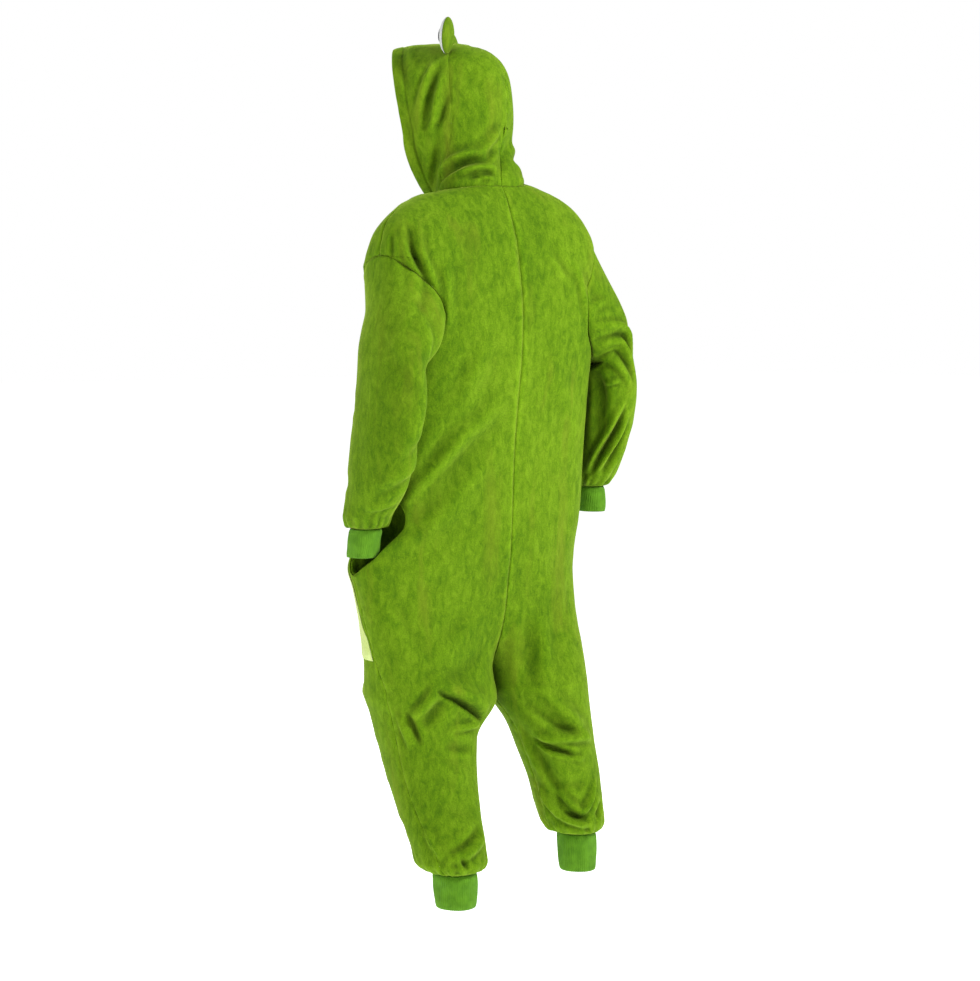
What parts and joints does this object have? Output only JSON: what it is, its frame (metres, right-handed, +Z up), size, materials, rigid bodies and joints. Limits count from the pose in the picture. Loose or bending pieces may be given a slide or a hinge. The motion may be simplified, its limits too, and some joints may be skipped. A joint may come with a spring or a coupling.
{
  "type": "hooded frog onesie",
  "caption": "One-piece plush frog costume for an adult, as worn: hood with padded eyes, long sleeves, side pockets, knitted cuffs and a buttoned front with a pale belly.",
  "frame": {"origin": "the shoulders that carry the worn garment, at the middle of the body", "axes": "+X to the wearer's left, +Y to the wearer's back, +Z up"},
  "size_m": [0.7137, 0.3644, 1.7912],
  "materials": {
    "velour": "matte velour nap",
    "knit": "matte rib knit",
    "belly": "matte velour nap",
    "white": "matte velour nap",
    "black": "matte felt"
  },
  "bodies": {
    "root": {"ankle_cuff_left": "knit", "ankle_cuff_right": "knit", "back_left": "velour", "back_right": "velour", "belly_left": "belly", "belly_right": "belly", "button_1": "knit", "button_2": "knit", "button_3": "knit", "button_4": "knit", "button_5": "knit", "eye_back_left": "velour", "eye_back_right": "velour", "eye_front_left": "white", "eye_front_right": "white", "front_left": "velour", "front_right": "velour", "hood_back_left": "velour", "hood_back_right": "velour", "hood_front_left": "velour", "hood_front_right": "velour", "placket": "velour", "pocket_left": "velour", "pocket_right": "velour", "pupil_left": "black", "pupil_right": "black", "sleeve_left": "velour", "sleeve_right": "velour", "wrist_cuff_left": "knit", "wrist_cuff_right": "knit"}
  },
  "joints": []
}
